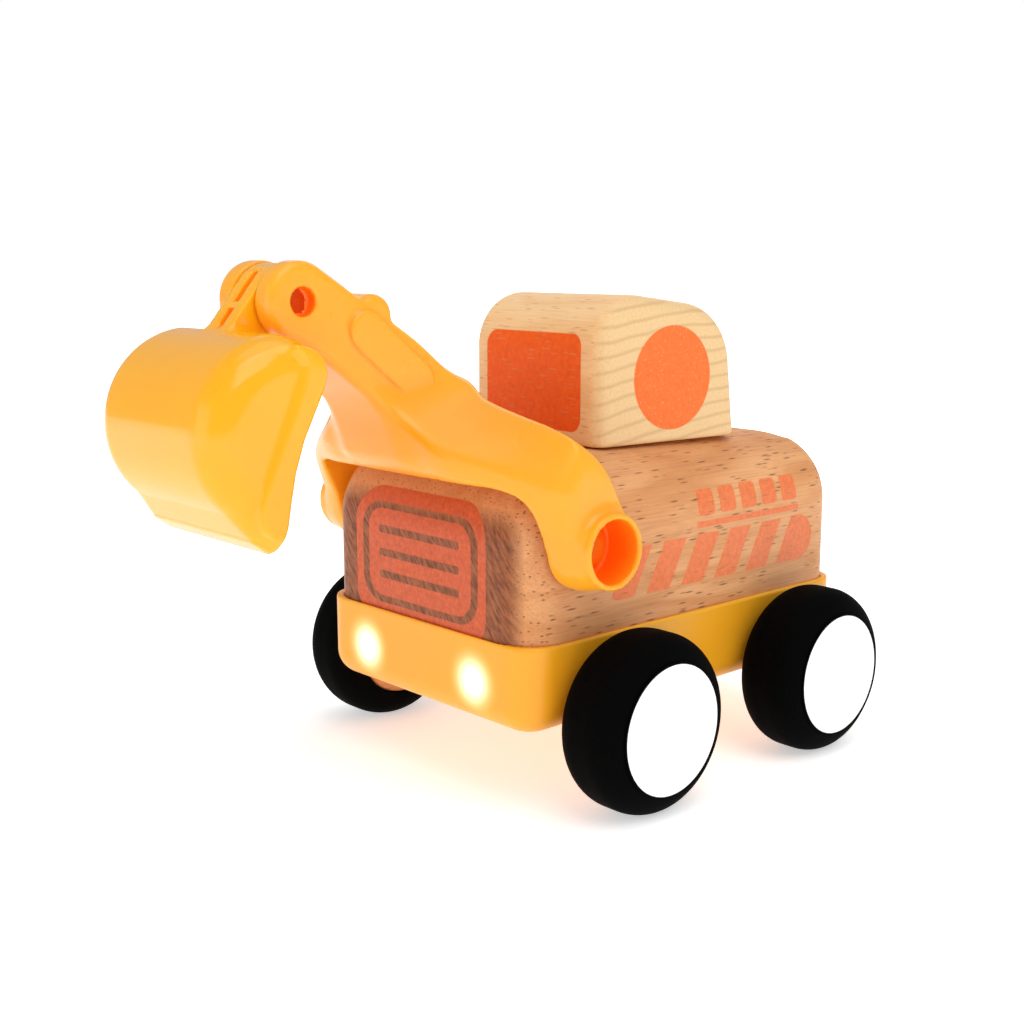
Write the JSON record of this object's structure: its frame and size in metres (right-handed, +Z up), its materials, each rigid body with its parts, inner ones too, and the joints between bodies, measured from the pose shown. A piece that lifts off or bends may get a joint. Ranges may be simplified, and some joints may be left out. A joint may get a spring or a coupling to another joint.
{
  "type": "toy excavator",
  "caption": "Wooden toy excavator with a turning cab on a moulded chassis with balloon tyres, a raised forked boom, a tilting bucket and lit headlights.",
  "frame": {"origin": "on the floor, at the middle of the toy's overall length and width", "axes": "+X towards the digging end, +Y towards the toy's left side, +Z up"},
  "size_m": [0.1744, 0.1102, 0.1178],
  "materials": {
    "wood_body": "satin beech with short dark flecks, orange print",
    "wood_cab": "satin pale wood, orange print",
    "yellow_plastic": "gloss, slightly translucent",
    "steel": "plain",
    "tyre_rubber": "matte black rubber",
    "white_disc": "satin white",
    "lamp_lens": "clear lens lit from behind",
    "led_warm": "lit warm white",
    "board_green": "solder mask",
    "switch_black": "matte",
    "contact_brass": "plain",
    "wire_red": "satin",
    "wire_black": "satin"
  },
  "bodies": {
    "base": {"chassis_tray": "yellow_plastic", "body_block": "wood_body", "cab_washer": "white_disc", "body_screws": "steel", "boom_axle": "steel", "boom_caps": "yellow_plastic", "lens_left": "lamp_lens", "lens_right": "lamp_lens", "led_left": "led_warm", "led_right": "led_warm", "circuit_board": "board_green", "switch_body": "switch_black", "cell_1": "steel", "cell_2": "steel", "cell_3": "steel", "contact_plus": "contact_brass", "contact_minus": "contact_brass", "wire_plus": "wire_red", "wire_minus": "wire_black", "wire_switch": "wire_black", "battery_door": "yellow_plastic", "door_screw": "steel"},
    "cab_turret": {"cab_block": "wood_cab", "cab_screw": "steel"},
    "boom_arm": {"boom": "yellow_plastic", "bucket_pin": "yellow_plastic"},
    "bucket_body": {"bucket": "yellow_plastic"},
    "front_wheels": {"front_axle": "steel", "tyre_fl": "tyre_rubber", "tyre_fr": "tyre_rubber", "hub_fl": "wood_body", "hub_fr": "wood_body", "disc_fl": "white_disc", "disc_fr": "white_disc"},
    "rear_wheels": {"rear_axle": "steel", "tyre_rl": "tyre_rubber", "tyre_rr": "tyre_rubber", "hub_rl": "wood_body", "hub_rr": "wood_body", "disc_rl": "white_disc", "disc_rr": "white_disc"},
    "switch_slider": {"switch_knob": "switch_black"}
  },
  "joints": [
    {"name": "boom_lift", "type": "hinge", "parent": "base", "child": "boom_arm", "pos_m": [0.0081, 0, 0.0587], "axis": [0, -1, 0], "range_deg": [-50, 30]},
    {"name": "bucket_curl", "type": "hinge", "parent": "boom_arm", "child": "bucket_body", "pos_m": [0.0576, 0, 0.1098], "axis": [0, -1, 0], "range_deg": [-32, 70]},
    {"name": "cab_turn", "type": "hinge", "parent": "base", "child": "cab_turret", "pos_m": [-0.037, 0, 0.0758], "axis": [0, 0, 1], "continuous": true},
    {"name": "front_axle_spin", "type": "hinge", "parent": "base", "child": "front_wheels", "pos_m": [-0.0023, 0, 0.02], "axis": [0, 1, 0], "continuous": true},
    {"name": "rear_axle_spin", "type": "hinge", "parent": "base", "child": "rear_wheels", "pos_m": [-0.0625, 0, 0.02], "axis": [0, 1, 0], "continuous": true},
    {"name": "light_switch", "type": "slide", "parent": "base", "child": "switch_slider", "axis": [0, 1, 0], "range_m": [-0.003, 0]}
  ]
}
